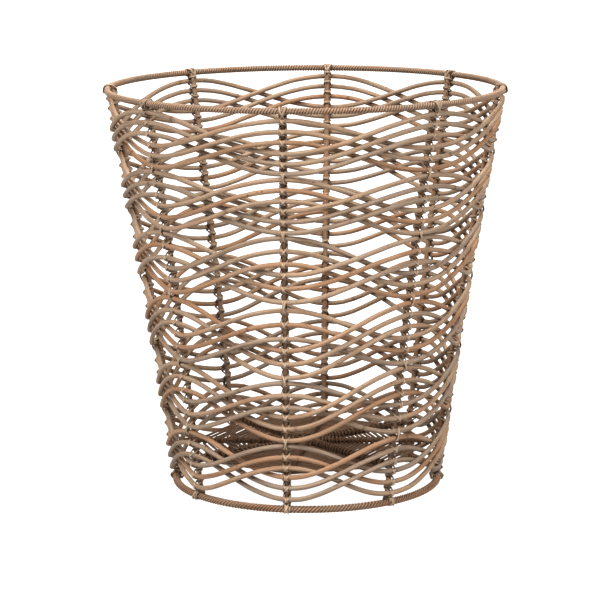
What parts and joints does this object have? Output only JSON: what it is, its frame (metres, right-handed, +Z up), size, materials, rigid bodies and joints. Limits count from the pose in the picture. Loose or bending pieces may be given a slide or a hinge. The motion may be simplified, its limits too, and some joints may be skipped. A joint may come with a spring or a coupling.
{
  "type": "wastebasket",
  "caption": "Round tapered open wastebasket of crossing wavy cane rods tied to upright canes between two bound wire rings, with a raised woven floor.",
  "frame": {"origin": "centre of the circle on which the basket stands, on the floor", "axes": "+Z up along the basket's axis, -Y to the front, +X to the right as seen from the front"},
  "size_m": [0.3008, 0.2998, 0.3039],
  "materials": {
    "rod_cane": "natural unvarnished cane, tan to orange brown",
    "upright_cane": "natural cane, darker and wrapped",
    "peel": "split cane peel, slightly glossy skin",
    "binding_cane": "narrow split cane wound round the wire",
    "floor_cane": "thin natural cane",
    "wire": "plain steel wire, hidden under the cane"
  },
  "bodies": {
    "root": {"wave_rod_1a1": "rod_cane", "wave_rod_1a2": "rod_cane", "wave_rod_1a3": "rod_cane", "wave_rod_1b1": "rod_cane", "wave_rod_1b2": "rod_cane", "wave_rod_1b3": "rod_cane", "wave_rod_2a1": "rod_cane", "wave_rod_2a2": "rod_cane", "wave_rod_2a3": "rod_cane", "wave_rod_2b1": "rod_cane", "wave_rod_2b2": "rod_cane", "wave_rod_2b3": "rod_cane", "wave_rod_3a1": "rod_cane", "wave_rod_3a2": "rod_cane", "wave_rod_3a3": "rod_cane", "wave_rod_3b1": "rod_cane", "wave_rod_3b2": "rod_cane", "wave_rod_3b3": "rod_cane", "wave_rod_4a1": "rod_cane", "wave_rod_4a2": "rod_cane", "wave_rod_4a3": "rod_cane", "wave_rod_4b1": "rod_cane", "wave_rod_4b2": "rod_cane", "wave_rod_4b3": "rod_cane", "wave_rod_5a1": "rod_cane", "wave_rod_5a2": "rod_cane", "wave_rod_5a3": "rod_cane", "wave_rod_5b1": "rod_cane", "wave_rod_5b2": "rod_cane", "wave_rod_5b3": "rod_cane", "wave_rod_6a1": "rod_cane", "wave_rod_6a2": "rod_cane", "wave_rod_6a3": "rod_cane", "wave_rod_6b1": "rod_cane", "wave_rod_6b2": "rod_cane", "wave_rod_6b3": "rod_cane", "upright_front": "upright_cane", "upright_front_right": "upright_cane", "upright_right": "upright_cane", "upright_back_right": "upright_cane", "upright_back": "upright_cane", "upright_back_left": "upright_cane", "upright_left": "upright_cane", "upright_front_left": "upright_cane", "lashing_front": "peel", "lashing_front_right": "peel", "lashing_right": "peel", "lashing_back_right": "peel", "lashing_back": "peel", "lashing_back_left": "peel", "lashing_left": "peel", "lashing_front_left": "peel", "rim_wire": "wire", "base_wire": "wire", "rim_binding": "binding_cane", "base_binding": "binding_cane", "floor_spoke_front_back": "floor_cane", "floor_spoke_left_right": "floor_cane", "floor_side_spokes": "floor_cane", "floor_weave": "floor_cane"}
  },
  "joints": []
}
